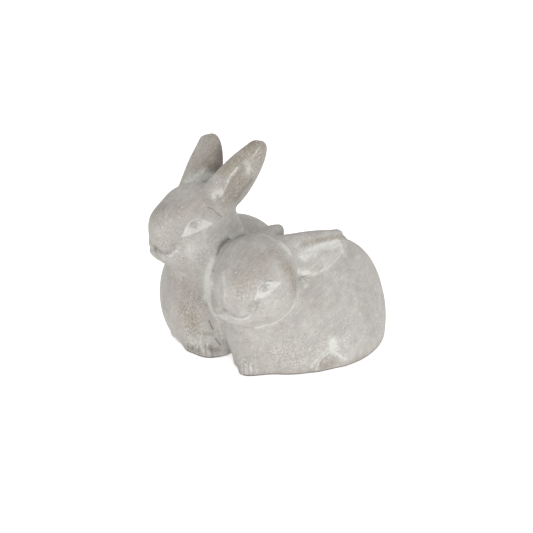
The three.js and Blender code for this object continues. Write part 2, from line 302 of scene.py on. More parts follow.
def turned(part):
    """A part's place: yaw turns the nose towards -y, pitch dips it, roll tips it sideways."""
    angles = (getattr(part, name, 0) for name in ("yaw", "pitch", "roll"))
    yaw, pitch, roll = (math.radians(angle) for angle in angles)
    c, s = math.cos(yaw), math.sin(yaw)
    about_z = np.array([[c, -s, 0], [s, c, 0], [0, 0, 1]])
    c, s = math.cos(-pitch), math.sin(-pitch)
    about_y = np.array([[c, 0, s], [0, 1, 0], [-s, 0, c]])
    c, s = math.cos(roll), math.sin(roll)
    about_x = np.array([[1, 0, 0], [0, c, -s], [0, s, c]])
    axes = about_z @ about_y @ about_x
    return Shape(at=np.array(part.at, float), axes=axes, scale=getattr(part, "scale", 1))


def aimed(at, along, out):
    """A frame at a point, x along one direction and z as near as can be to another."""
    x = unit(along)
    z = unit(out - x * (x @ np.array(out)))
    return Shape(at=np.array(at, float), axes=np.stack([x, np.cross(z, x), z], 1), scale=1)


def local(p, seat):
    """Points of the casting in a frame's own terms."""
    return ((p - seat.at) @ seat.axes / seat.scale).astype(np.float32)


def within(seat, inner):
    """A frame that is given in another, in the outer one's own terms."""
    at = seat.at + seat.axes @ inner.at * seat.scale
    return Shape(at=at, axes=seat.axes @ inner.axes, scale=seat.scale * inner.scale)


def placed(form, seat):
    """A form given in a frame's terms, set in its place in the casting."""
    return lambda p: form(local(p, seat)) * seat.scale


def eye_seat(head, side):
    """The frame of an eye in the head's frame: x to the front corner, z the way it looks."""
    mirror = np.array([1, side, 1])
    at = np.array(head.eye) * mirror
    return aimed(at, np.array(HEAD.slant) * mirror, np.array(HEAD.gaze) * mirror)


def lumps(parts):
    """Rounded lumps grown together, one after another."""
    form = None
    for part in parts:
        lump = placed(ellipsoid((0, 0, 0), part.radii), turned(part))
        form = lump if form is None else join(form, lump, part.soft)
    return form


def head_form(head):
    """A head: skull, cheeks, jaw, chin, snout and brow, then its eyes in their sockets."""
    form = ellipsoid(HEAD.skull, head.skull)
    cheek, lip, socket, eye = HEAD.cheek, HEAD.lip, HEAD.socket, HEAD.eye
    for side in (LEFT, RIGHT):
        at = (-cheek.forward, side * head.cheek_aside, -cheek.drop)
        form = join(form, ellipsoid(at, head.cheek), cheek.soft)
    for part in (HEAD.jaw, HEAD.chin):
        form = join(form, ellipsoid(part.at, part.radii), part.soft)
    snout = ellipsoid(HEAD.muzzle.at, HEAD.muzzle.radii)
    for side in (LEFT, RIGHT):
        at = (-lip.forward, side * lip.aside, -lip.drop)
        snout = join(snout, ellipsoid(at, lip.radii), lip.soft)
    form = join(form, snout, HEAD.muzzle.soft)
    form = join(form, ellipsoid(HEAD.brow.at, HEAD.brow.radii), HEAD.brow.soft)
    for side in (LEFT, RIGHT):
        seat = eye_seat(head, side)
        form = carve(form, placed(ellipsoid((0, 0, socket.lift), socket.radii), seat), socket.soft)
        form = join(form, placed(ellipsoid((0, 0, -eye.sink), head.eyeball), seat), eye.soft)
    return placed(form, turned(head))


def ear_seat(ear):
    return aimed(ear.root, ear.along, ear.open)


def ear_form(ear, side):
    """A leaf that narrows to a blunt tip, with a rolled front edge and a slit in its open side."""
    size = np.array(ear.size)
    length, width, thick = ear.size
    leaf_radii = (length * EAR.leaf.reach, width / 2, thick / 2)
    leaf = blunt_leaf((length * EAR.leaf.middle, 0, 0), leaf_radii, EAR.leaf.bluntness)
    roll_thick = np.array(EAR.roll.thick) * width
    roll = tapered_rod(size * EAR.roll.start, size * EAR.roll.end, roll_thick)
    along, across, half_length, half_width = ear.slit
    slit_at = size * (along, across, EAR.slit.lift)
    slit = ellipsoid(slit_at, size * (half_length, half_width, EAR.slit.depth))
    whole = carve(join(leaf, roll, EAR.roll.soft), slit, EAR.slit.soft)

    def form(p):
        share = np.clip(p[:, 0] / length, *EAR.taper_ends)
        p[:, 1] *= -side / (1 - ear.taper * (share - 0.5))
        return whole(p)

    return placed(form, ear_seat(ear))


def rabbit_form(rabbit):
    """A rabbit, grown from its trunk by one soft joint after another."""
    thigh, foot, legs, ears = rabbit.thigh, rabbit.foot, rabbit.fore_legs, rabbit.ears
    form = lumps(rabbit.trunk)
    form = join(form, ellipsoid(rabbit.tail.at, rabbit.tail.radii), rabbit.tail.soft)
    sole = tapered_rod(foot.start, foot.end, foot.thick)
    haunch = placed(ellipsoid((0, 0, 0), thigh.radii), turned(thigh))
    form = join(form, join(haunch, sole, foot.soft), thigh.soft)
    for at in (legs.right, legs.left):
        form = join(form, ellipsoid(at, legs.radii), legs.soft)
    if rabbit.neck:
        form = join(form, lumps(rabbit.neck), rabbit.neck_soft)
    form = join(form, head_form(rabbit.head), rabbit.head.soft)
    for ear, side in ((ears.right, RIGHT), (ears.left, LEFT)):
        form = join(form, ear_form(ear, side), ears.soft)
    return form


def floor_side(p):
    """All that lies under the floor, as a tool that cuts the base flat."""
    return p[:, 2]


casting = join(rabbit_form(UPRIGHT), rabbit_form(RESTING), TOUCH)
casting = carve(casting, floor_side, BASE_EDGE)

# ---------------------------------------------------------------- the skin


def measured(form, points, batch=60_000):
    """The form's value at many points, worked out in batches side by side."""
    points = np.asarray(points, np.float32)
    batches = np.array_split(points, max(1, len(points) // batch))
    with ThreadPoolExecutor(4) as pool:
        return np.concatenate(list(pool.map(form, batches)))


def outward(form, points, reach=0.12):
    """The value at each point and the unit direction out of the form."""
    corners = np.array([[1, -1, -1], [-1, -1, 1], [-1, 1, -1], [1, 1, 1]], np.float32)
    values = [measured(form, points + reach * corner) for corner in corners]
    slope = sum(value[:, None] * corner for value, corner in zip(values, corners))
    return sum(values) / 4, slope / np.maximum(length_of(slope), 1e-9)[:, None]


def settled(form, points, rounds=3):
    """The points moved onto the surface."""
    for _ in range(rounds):
        value, out = outward(form, points)
        points = points - value[:, None] * out
    return points


def grid_values(form, low, high, step):
    """The form on a grid. Blocks far from the surface only get the sign of their middles."""
    blocks = np.ceil((high - low) / (step * BLOCK)).astype(int)
    index = np.stack(np.meshgrid(*map(np.arange, blocks), indexing="ij"), -1).reshape(-1, 3)
    size = step * BLOCK
    middles = measured(form, low + (index + 0.5) * size - step / 2)
    near = np.abs(middles) < size
    values = np.sign(middles).reshape(blocks).astype(np.float32) * size
    for axis in range(3):
        values = values.repeat(BLOCK, axis)
    inner = np.stack(np.meshgrid(*[np.arange(BLOCK)] * 3, indexing="ij"), -1).reshape(-1, 3)
    cells = (index[near][:, None] * BLOCK + inner).reshape(-1, 3)
    values[tuple(cells.T)] = measured(form, low + cells * step)
    return values


def surface_net(values):
    """Quads through a grid of distances, one vertex in every cell that the surface crosses."""
    inside = values < 0
    cells_shape = np.array(values.shape) - 1
    corners = np.stack(np.meshgrid([0, 1], [0, 1], [0, 1], indexing="ij"), -1).reshape(-1, 3)
    count = np.zeros(cells_shape, np.int8)
    for i, j, k in corners:
        count += inside[i : i + cells_shape[0], j : j + cells_shape[1], k : k + cells_shape[2]]
    crossed = (count > 0) & (count < 8)
    cells = np.argwhere(crossed)
    number = np.full(crossed.shape, -1, np.int64)
    number[crossed] = np.arange(len(cells))
    total, hits = np.zeros((len(cells), 3)), np.zeros(len(cells))
    for start in corners:
        for axis in np.flatnonzero(start == 0):
            end = start + np.eye(3, dtype=int)[axis]
            a, b = values[tuple((cells + start).T)], values[tuple((cells + end).T)]
            cut = (a < 0) != (b < 0)
            share = np.where(cut, a / np.where(cut, a - b, 1), 0)
            total += cut[:, None] * (start + share[:, None] * (end - start))
            hits += cut
    quads = []
    for axis in range(3):
        u, v = np.eye(3, dtype=int)[[(axis + 1) % 3, (axis + 2) % 3]]
        first, second = np.delete(inside, -1, axis), np.delete(inside, 0, axis)
        flips = np.argwhere(first != second)
        ring = [number[tuple((flips - o).T)] for o in (0 * u, u, u + v, v)]
        quad = np.stack(ring, 1)
        outwards = first[tuple(flips.T)]
        quads.append(np.where(outwards[:, None], quad, quad[:, ::-1]))
    return cells + total / hits[:, None], np.concatenate(quads)


# How a triangle is split, by which of its sides are halved. 0 to 2 are its corners, and 3 to 5
# the middles of its sides 0-1, 1-2 and 2-0.
SPLITS = {
    0: [(0, 1, 2)],
    1: [(0, 3, 2), (3, 1, 2)],
    2: [(0, 1, 4), (0, 4, 2)],
    3: [(0, 3, 2), (3, 1, 4), (3, 4, 2)],
    4: [(0, 1, 5), (5, 1, 2)],
    5: [(0, 3, 5), (3, 1, 2), (3, 2, 5)],
    6: [(0, 1, 5), (1, 4, 5), (5, 4, 2)],
    7: [(0, 3, 5), (3, 1, 4), (5, 4, 2), (3, 4, 5)],
}


def refined(points, faces, wanted):
    """The wanted triangles are split in four, and their neighbours to match."""
    sides = np.sort(np.stack([faces, np.roll(faces, -1, 1)], -1), -1)
    key = sides[..., 0].astype(np.int64) * len(points) + sides[..., 1]
    halved, where = np.unique(key[wanted], return_index=True)
    ends = sides[wanted].reshape(-1, 2)[where]
    place = np.searchsorted(halved, key)
    found = halved[np.minimum(place, len(halved) - 1)] == key
    six = np.concatenate([faces, len(points) + place], 1)
    pattern = found @ np.array([1, 2, 4])
    pieces = []
    for kind, splits in SPLITS.items():
        pieces += [six[pattern == kind][:, list(split)] for split in splits]
    return np.concatenate([points, points[ends].mean(1)]), np.concatenate(pieces)


# ---------------------------------------------------------------- lines and places on the skin

# The frames that marks are given in: the whole statue, the heads and the ears.
STATUE = Shape(at=np.zeros(3), axes=np.eye(3), scale=1)
UPRIGHT_HEAD, RESTING_HEAD = turned(UPRIGHT.head), turned(RESTING.head)
NEAR_RAISED_EAR, FAR_RAISED_EAR = ear_seat(UPRIGHT.ears.left), ear_seat(UPRIGHT.ears.right)
LAID_EAR = ear_seat(RESTING.ears.left)


def line_on(seat, places):
    """A line through places given in a frame, laid onto the surface, in the casting's frame."""
    points = seat.at + np.array(places, float) @ seat.axes.T * seat.scale
    steps = np.linspace(0, len(points) - 1, LINE_POINTS * len(points))
    points = np.stack([np.interp(steps, range(len(points)), values) for values in points.T], 1)
    return settled(casting, points, rounds=4)


def nearness(points, line, width):
    """How near each point is to a line: 1 on it, falling to 0 at its width."""
    low, high = line.min(0) - width, line.max(0) + width
    close = np.flatnonzero(((points > low) & (points < high)).all(1))
    best = np.full(len(close), np.inf)
    for start, end in zip(line, line[1:]):
        run = end - start
        share = np.clip((points[close] - start) @ run / max(run @ run, 1e-9), 0, 1)
        best = np.minimum(best, length_of(points[close] - start - share[:, None] * run))
    result = np.zeros(len(points))
    result[close] = smooth(1 - best / width)
    return result


def mark(seat, half_width, strength, *places):
    """A mark along a line: half its width in mm, then how far it rises in mm or its strength."""
    return Shape(seat=seat, half_width=half_width, strength=strength, places=places)


def both_sides(seat, half_width, strength, *places):
    """A mark on a head's left side and the same on its right."""
    mirrored = [(x, -y, z) for x, y, z in places]
    return [mark(seat, half_width, strength, *line) for line in (places, mirrored)]


# Lines that the tooling and the finishes below follow. Those of a mouth are for a head's left side.
UPRIGHT_MOUTH = [
    (-30, -0.6, -5.2), (-29.9, -4.2, -6.8), (-29.1, -8.1, -7.5), (-26.8, -11.6, -7.2),
    (-22.7, -13.9, -4.3),
]
UPRIGHT_CHIN = [(-29.3, 4.7, -1.1), (-30, 1.2, -6.5), (-28.8, -2.3, -12), (-26.7, -3.9, -14.9)]
RESTING_MOUTH = [
    (-30, -0.2, -4.7), (-29.9, -4.4, -6.9), (-29.3, -7.4, -8.2), (-27.3, -11.1, -9.4),
    (-25, -13.1, -9), (-21.9, -14.9, -6.7), (-19.6, -16, -3.7),
]
RESTING_LIP = [
    (-29.9, -3.9, -8.4), (-29.3, -7, -9.6), (-27.2, -10.5, -11), (-25, -12.7, -10.6),
    (-22.2, -14.7, -8.4), (-19.6, -16.2, -5.1),
]
HAUNCH_FOLD = [(9, -56.5, 34), (2.5, -57, 29.6), (-1, -57.2, 25), (-4.8, -57.5, 16), (-6.7, -57, 12)]
FOOT_FRONT = [(-6.7, -57, 11.2), (-12.4, -55.6, 9), (-15.9, -55.3, 3.8), (-16.6, -55.3, 1)]
FOOT_OUTER = [(-8.8, -56.3, 13.6), (-13.9, -55.3, 10.7), (-18.6, -54, 6.2), (-19.8, -53.5, 4.4)]
FOOT_BACK = [(-4.9, -57.7, 12.2), (-0.6, -59.7, 8.2), (3.4, -61.2, 5.1)]
SCRATCH = [(1, -19.5, 15), (3.8, -20.6, 13), (5.6, -21.6, 10), (8.7, -21.8, 6.5)]
CHEST_CREASE = [(-49.8, 9.1, 24.5), (-48.8, 9.1, 21.5), (-47.3, 8.7, 18.4)]
PAW_CREASE = [(-46.6, 6.6, 12), (-45, 4.2, 8.6)]
TOES = [
    [(-52.6, -26.6, 7.5), (-53.3, -28, 1.5)],
    [(-51.5, -29.7, 8.2), (-51.8, -31, 1.5)],
    [(-50, -32.3, 7.5), (-50, -33.2, 1.5)],
    [(-55.9, 24.5, 7), (-56, 24, 1.5)],
    [(-55.8, 20, 7.5), (-56, 18.5, 1.5)],
    [(-55, 15, 8), (-55.5, 13, 1.5)],
    [(-53, 10, 8.5), (-53.7, 8.3, 1.5)],
    [(-50.5, 7, 8), (-50.5, 5, 1.5)],
]
PAW_STROKES = [
    [(-55.9, 19.6, 7.2), (-55.4, 18, 5), (-55.9, 17.6, 2.4)],
    [(-55.6, 17, 8.8), (-55.4, 15, 7), (-55.9, 15.6, 4)],
    [(-54, 13.6, 10), (-54.6, 12, 7), (-54.9, 9.8, 4)],
    [(-51.4, 9.2, 10.5), (-52.4, 9.4, 6), (-52.8, 7, 4)],
    [(-56.3, 27.6, 5.8), (-56, 23, 7.4), (-55.7, 19, 7)],
    [(-52, -24.4, 8.8), (-52.6, -26.2, 6), (-53, -25.4, 3.6)],
    [(-51.3, -28.6, 7.6), (-52, -28, 5), (-52.2, -29.9, 2.5)],
    [(-50, -30.6, 8.4), (-50.8, -31.8, 5), (-50.4, -33, 3.4)],
]

# Creases cut into the surface, and what is raised from it: the bridge of the resting rabbit's
# nose, its lip, the edge of its hind foot, and the whitewash gathered in the slit of its ear.
RELIEF = [
    *both_sides(UPRIGHT_HEAD, 3.2, -0.9, *UPRIGHT_MOUTH),
    *both_sides(UPRIGHT_HEAD, 3, -0.5, (-22.7, -13.9, -4.3), (-21.2, -14, -1), (-19.2, -15, 1.1)),
    *both_sides(RESTING_HEAD, 2.4, -0.8, *RESTING_MOUTH),
    *both_sides(RESTING_HEAD, 1.8, 0.2, *RESTING_LIP),
    *both_sides(
        RESTING_HEAD, 1.6, -0.35, (-28.9, -0.4, -11.9), (-27.7, -2.7, -13.8), (-24.8, -7.5, -15.6),
    ),
    *both_sides(RESTING_HEAD, 3.5, -1.1, (-21.5, -15, -7), (-20.3, -15.6, -4.8), (-18.6, -16.3, -2)),
    mark(RESTING_HEAD, 5.5, 1.4, (-23, -3, 17), (-27, -4.5, 10), (-29.7, -3, 0)),
    mark(RESTING_HEAD, 10, -2.2, (-18, 11, 15), (-24, 9, 8), (-25, 10, -2)),
    *(mark(STATUE, 1.3, -0.6, *toe) for toe in TOES),
    mark(STATUE, 4.5, -0.6, *HAUNCH_FOLD),
    mark(STATUE, 1.6, -0.6, *FOOT_FRONT),
    mark(STATUE, 1.4, 0.3, *FOOT_OUTER),
    mark(STATUE, 1.6, -0.5, *FOOT_BACK),
    mark(UPRIGHT_HEAD, 0.8, -0.35, *SCRATCH),
    mark(LAID_EAR, 3, 0.6, (12, -3.2, 4.4), (22, -2.6, 3.6), (34, -2.8, 3.6), (42, -3, 3.8)),
    mark(STATUE, 1, -0.4, *CHEST_CREASE),
    mark(STATUE, 1.2, -0.4, *PAW_CREASE),
]

# Whitewash left by the brush, and a painted highlight along the bridge of the resting rabbit's
# nose.
WASHES_AND_HIGHLIGHT = [
    # noses, mouths and cheeks
    *both_sides(UPRIGHT_HEAD, 2.4, 0.6, (-27, -11.3, -9.4), (-23.6, -13.9, -7.2), (-22, -14.5, -5)),
    *both_sides(RESTING_HEAD, 1.4, 0.5, *RESTING_LIP),
    # a painted highlight: a white line along the bridge of the resting rabbit's nose
    mark(
        RESTING_HEAD, 2, 0.4,
        (-23.7, -1.4, 16.4), (-26.8, -3.7, 12.5), (-28.7, -4.4, 7.1), (-29.7, -3, 1),
    ),
    mark(UPRIGHT_HEAD, 13, 0.4, (-16, -18, -8), (-6, -20, -8)),
    # the roots and slits of the ears
    mark(
        FAR_RAISED_EAR, 7, 0.8,
        (9, -10.5, -4), (12, -8.1, -4.8), (15, -4, -5.7), (17, 0, -6), (18, 4, -5.6),
    ),
    mark(FAR_RAISED_EAR, 4, 0.6, (14, -6, -5.4), (21, -3, -6)),
    mark(NEAR_RAISED_EAR, 5, 0.75, (-0.9, 11, 7.1), (1.7, 10.5, 7.1), (4.1, 8, 7.2)),
    mark(NEAR_RAISED_EAR, 3, 0.5, (4.1, 8, 7.2), (3, 4.3, 6.5), (1, 3, 6.5)),
    mark(NEAR_RAISED_EAR, 2, 0.6, (1.8, 6.8, 7.3), (8.5, 7.2, 7), (12.2, 8.7, 6.7)),
    mark(NEAR_RAISED_EAR, 1.5, 0.75, (12.2, 8.7, 6.7), (17.1, 9.2, 6.2), (22.2, 8.6, 6)),
    mark(NEAR_RAISED_EAR, 1.2, 0.7, (34.5, 4.1, 5.8), (38.1, 4.6, 5.7), (41.3, 4.2, 5.2)),
    mark(NEAR_RAISED_EAR, 4.5, 0.6, (28, 4.4, 6.2), (26.8, 1.3, 5.8), (24.2, 0, 5.9)),
    mark(
        LAID_EAR, 5.5, 0.95,
        (8.6, -2.8, 5.6), (16.4, -1.6, 5.2), (23.8, -1, 5.2), (32.2, -1.4, 5), (40.6, -1.6, 5),
    ),
    mark(STATUE, 6.5, 0.7, (-30.3, -38.6, 83.5), (-28.4, -42.3, 79.5)),
    mark(STATUE, 2.5, 0.5, (-34.7, -21.7, 87.6), (-34.6, -29.8, 87.7), (-33.6, -35, 86.2)),
    mark(STATUE, 4.5, 0.75, (-21.8, -43.9, 66.1), (-15.3, -44.3, 62.6), (-7.1, -42, 60.3)),
    mark(STATUE, 4, 0.65, (-15.9, -44, 62), (-14.9, -42.6, 54.8)),
    mark(
        STATUE, 2, 0.6,
        (-7.1, -42, 60.3), (-2.8, -43, 61.1), (3.8, -43.3, 62.2), (15, -42.6, 66.1),
    ),
    mark(STATUE, 3, 0.5, (17.1, -42.2, 69.4), (22.8, -39.4, 64.7)),
    # where one rabbit lies against the other
    mark(
        STATUE, 4, 0.95,
        (-38.3, 1.5, 80.3), (-30.8, 5.5, 79.3), (-24, 8.5, 78.7), (-18, 12.5, 77.8),
    ),
    mark(STATUE, 1.4, 0.6, (-23.7, 12.1, 89.8), (-20.1, 13.4, 84.7), (-17.5, 13.5, 79.4)),
    mark(STATUE, 5.5, 0.95, (-51.5, 1.5, 70), (-52, 5, 60.5), (-50, 9, 48.5), (-51, 9.5, 40)),
    mark(
        STATUE, 2.6, 0.75,
        (-50.7, 9, 38.8), (-48.7, 7, 30.7), (-45.4, 5, 23.8), (-44, 5.7, 17.7), (-43, 4.4, 12.2),
    ),
    mark(
        STATUE, 2, 0.65,
        (-49, -34, 33.6), (-45.8, -36.8, 34.5), (-39, -41.4, 36.4), (-28.7, -45.2, 44.6),
    ),
    mark(STATUE, 1.8, 0.45, (-28.7, -45.2, 44.6), (-23.6, -44.3, 49), (-19, -42, 54)),
    # the haunch, the feet and the flank
    mark(STATUE, 6.5, 0.95, (-4.5, -57, 18.5), (-4.9, -57.7, 13)),
    mark(STATUE, 2.2, 0.75, *FOOT_BACK),
    mark(STATUE, 2.4, 0.6, *FOOT_OUTER),
    mark(STATUE, 1.2, 0.75, *FOOT_FRONT),
    *(mark(STATUE, 1.5, 0.5, *stroke) for stroke in PAW_STROKES),
    mark(STATUE, 5, 0.4, (-56, 22, 10), (-54, 15, 12.5), (-50, 9, 12.5)),
]

# Places rubbed bare of whitewash, where the brown of the cement shows.
RUBBED = [
    mark(RESTING_HEAD, 13, 0.5, (-21.6, -10.6, 12), (-16.9, -14, 11.4), (-11, -17, 12)),
    mark(RESTING_HEAD, 12, 0.45, (-8, -6, 21.5), (-5, -13, 19)),
    *both_sides(RESTING_HEAD, 8, 0.45, (4, -18, 17.5), (4.5, -21.1, 13.7), (5, -23.4, 7.7)),
    *both_sides(RESTING_HEAD, 10, 0.8, (6.6, -23.4, 6), (7, -24.4, 1.1), (6.2, -24.8, -4.5)),
    mark(NEAR_RAISED_EAR, 17, 0.75, (8, 0, 6), (42, 2, 5)),
    mark(
        NEAR_RAISED_EAR, 7, 0.9,
        (14.3, 13.6, 2.6), (21.6, 12.1, 2.9), (31.2, 9.8, 3.2), (39.1, 8.2, 2.7),
    ),
    mark(FAR_RAISED_EAR, 17, 0.7, (16, -3, -6), (42, 0, -5)),
    mark(LAID_EAR, 3, 0.5, (12, 4.2, 6.3), (22, 4, 6.3)),
    mark(LAID_EAR, 3, 0.85, (24, 3.8, 6.2), (36.8, 2.4, 5.7), (48, 1.7, 4)),
    mark(STATUE, 27, 0.4, (-60, 25, 50), (-59, 21, 20)),
    mark(
        STATUE, 8, 0.8,
        (-58.9, 21.4, 30.8), (-58, 19.7, 26.9), (-56.4, 17.7, 23), (-55.5, 18.9, 16.8),
    ),
    mark(STATUE, 5, 0.6, (-11.5, -56.6, 4.3), (-8.7, -57.3, 4.7), (-5.1, -58.1, 6.3)),
    mark(UPRIGHT_HEAD, 15, 0.45, (-22, 0, 14), (-12, -12, 16), (2, -14, 17)),
]

# Dark stains, where dirt has settled or the brush missed, and painted shade: in the crevice between
# the rabbits, along the far raised ear's rear edge, in the creases between the upright rabbit's paws
# and belly, in both mouths, along the upright rabbit's chin and on the far side of the resting
# rabbit's face.
STAINS_AND_PAINTED_SHADE = [
    # painted shadow in the crevice between the upright rabbit's cheek and the resting rabbit's head
    mark(
        STATUE, 3.4, 0.95,
        (-53, -5, 74), (-50.5, -3.5, 76.5), (-45.8, -1.5, 78.5), (-40.4, 0, 79.4),
    ),
    # painted shade along the far raised ear's rear edge
    mark(FAR_RAISED_EAR, 12, 0.75, (38, 8, -4), (29, 8, -4.5), (23, 5, -5.6)),
    mark(NEAR_RAISED_EAR, 4.5, 0.5, (7.1, -6.5, 5), (15.2, -6.2, 5.3), (21, -7, 5)),
    mark(NEAR_RAISED_EAR, 3, 0.35, (29.5, -7.7, 4.1), (36, -4, 4.4)),
    # painted shade in the creases over the upright rabbit's chest and paw
    mark(STATUE, 1.3, 0.7, *CHEST_CREASE),
    mark(STATUE, 1.5, 0.7, *PAW_CREASE),
    # painted shade between the upright rabbit's paws and its belly
    mark(STATUE, 4, 0.45, (-51.5, 12.8, 14.8), (-48, 9, 15)),
    mark(STATUE, 1.3, 0.6, (-51.2, 10.5, 38.8), (-51, 9.8, 35)),
    mark(STATUE, 5, 0.65, (-52.3, 8, 6.8), (-49.5, 5.3, 5.4), (-46.6, 3.8, 5.1)),
    mark(STATUE, 3, 0.5, (-56.5, 23.3, 3.7), (-55.6, 15.2, 4)),
    *(mark(STATUE, 1.3, 0.35, *toe) for toe in TOES),
    # painted shade in the crease of the resting rabbit's mouth
    mark(RESTING_HEAD, 2.2, 0.4, *RESTING_MOUTH[:5]),
    # painted shade on the far side of the resting rabbit's face, which is turned from the light
    mark(RESTING_HEAD, 11, 0.35, (-22, 12, 14), (-26, 9.5, 5), (-28.5, 7, -3)),
    # painted shade in the crease of the upright rabbit's mouth
    mark(UPRIGHT_HEAD, 4, 0.5, *UPRIGHT_MOUTH[:4]),
    # painted shade along the edge of the upright rabbit's chin
    mark(UPRIGHT_HEAD, 3, 0.45, *UPRIGHT_CHIN),
    mark(UPRIGHT_HEAD, 0.8, 0.6, *SCRATCH),
]

# Where the air holes crowd.
PITTED = [
    mark(STATUE, 15, 1, (-38, -41, 14), (-20, -54, 15), (0, -58, 14)),
    mark(STATUE, 12, 0.4, (20, -58, 16), (44, -52, 20)),
    mark(NEAR_RAISED_EAR, 16, 0.55, (4, 0, 6), (44, 2, 5)),
    mark(FAR_RAISED_EAR, 14, 0.35, (10, 0, -6), (44, 0, -5)),
    mark(LAID_EAR, 13, 0.3, (6, 0, 6), (44, 0, 5)),
    mark(RESTING_HEAD, 7, 0.9, (-24, -10, 4), (-18, -15, 5), (-16, -16, 8)),
    mark(RESTING_HEAD, 7, 0.6, (-20, -15, -5), (-14, -18, -12)),
    mark(NEAR_RAISED_EAR, 4.5, 1, (22, 11, 3), (44, 7, 3.8)),
    mark(LAID_EAR, 3.5, 0.9, (8.6, 0.5, 5.7), (20, 4, 6), (34, 3, 5.8)),
    mark(UPRIGHT_HEAD, 9, 0.6, (-24, -2, 14), (-20, -8, 12)),
    mark(UPRIGHT_HEAD, 9, 0.6, (-28, -6, 0), (-22, -12, -12), (-10, -18, -14)),
    mark(STATUE, 16, 0.6, (-60, 18, 40), (-57, 16, 12)),
    mark(STATUE, 8, 0.5, (-52.1, -23.1, 8), (-50.1, -32.2, 5)),
]

# Where the brush left curling lines of whitewash.
SCRIBBLED = [
    mark(STATUE, 15, 0.75, (-59, 20, 30), (-56, 17, 14)),
    mark(STATUE, 8, 1, (-56, 22, 8), (-50, 8, 8)),
    mark(STATUE, 8, 1, (-52.1, -23.1, 8), (-50.1, -32.2, 5)),
    mark(NEAR_RAISED_EAR, 7, 0.6, (26, 3, 6), (36, 4, 6)),
    mark(FAR_RAISED_EAR, 7, 0.5, (14, -6, -5.4), (19, 2, -6)),
    mark(UPRIGHT_HEAD, 14, 0.25, (-22, -10, 10), (-18, -17, -6)),
    mark(RESTING_HEAD, 6, 0.4, (-22, -12, 2), (-20, -14, -6)),
]

FINISHES = {
    "wash": WASHES_AND_HIGHLIGHT,
    "rubbed": RUBBED,
    "stain_and_shade": STAINS_AND_PAINTED_SHADE,
    "pits": PITTED,
    "scribbles": SCRIBBLED,
}


def eye_seats():
    """Each eye's frame, and the sizes of its finish."""
    heads = (UPRIGHT_HEAD, UPRIGHT.head, EYES.upright), (RESTING_HEAD, RESTING.head, EYES.resting)
    for seat, head, eye in heads:
        for side in (LEFT, RIGHT):
            yield within(seat, eye_seat(head, side)), eye


def ring(across, width):
    """1 on a line, falling away from it to both sides."""
    return np.exp(-((across / width) ** 2))


def lens(x, y, half_length, above, below, pointedness=1.3, drop=4, edge=2):
    """1 inside a lens with pointed corners, easing to 0 across its edge, and 0 past its corners."""
    width = np.clip(1 - (x / half_length) ** 2, 0, 1) ** pointedness
    reach = np.where(y > 0, above, below) * width - drop * (np.abs(x) > half_length)
    return smooth(0.5 + (reach - np.abs(y)) / edge)


def eye_marks(points):
    """The relief of the lids and pupils, the whitewash and painted pupil highlights round the
    eyeballs, and where it is wiped.
    """
    height, wash, wiped = (np.zeros(len(points)) for _ in range(3))
    for seat, eye in eye_seats():
        close = np.flatnonzero(length_of(points - seat.at) < EYE_REACH)
        x, y, _ = local(points[close], seat).T
        x, y = x - eye.forward, y * np.sign(seat.axes[2, 1])  # y is now towards the brow
        rim = ring((np.hypot(x / LID.radii[0], y / LID.radii[1]) - 1) * LID.radii[1], LID.width)
        pupil = np.hypot(x - PUPIL.at[0], y - PUPIL.at[1])
        height[close] += eye.rim * rim - eye.pupil * ring(pupil - PUPIL.radius, PUPIL.width)
        ball = lens(x, y, *eye.ball)
        # A painted highlight: a white dab in the middle of the pupil.
        pupil_highlight = (eye.pupil > 0) * ring(pupil, PUPIL.radius / 2)
        turn = math.radians(eye.turn)
        y = y + eye.lowered
        x, y = x * math.cos(turn) + y * math.sin(turn), y * math.cos(turn) - x * math.sin(turn)
        washed = eye.wash * lens(x, y, *eye.lens) * (1 - BALL_WIPED * ball)
        washed_rim = (eye.rim > 0) * LID.wash * rim
        wash[close] = np.maximum(washed, np.maximum(PUPIL.wash * pupil_highlight, washed_rim))
        wiped[close] = BALL_WIPED * ball
    return height, wash, wiped


def tooled(points):
    """How far the tooling raises each point of the skin."""
    height, _, _ = eye_marks(points)
    for line in RELIEF:
        height += line.strength * nearness(points, line_on(line.seat, line.places), line.half_width)
    return height


def near_tooling(points):
    """Which points lie where the mesh is made finer."""
    near = np.zeros(len(points), bool)
    for seat, _ in eye_seats():
        near |= length_of(points - seat.at) < EYE_MARGIN
    for line in RELIEF:
        width = line.half_width + TOOLING_MARGIN
        near |= nearness(points, line_on(line.seat, line.places), width) > 0
    return near


def shut_in(points, out, reach):
    """How far the form closes in on places held off it: 0 over a flat place, 1 in a tight corner."""
    return 1 - measured(casting, points + reach * out) / reach


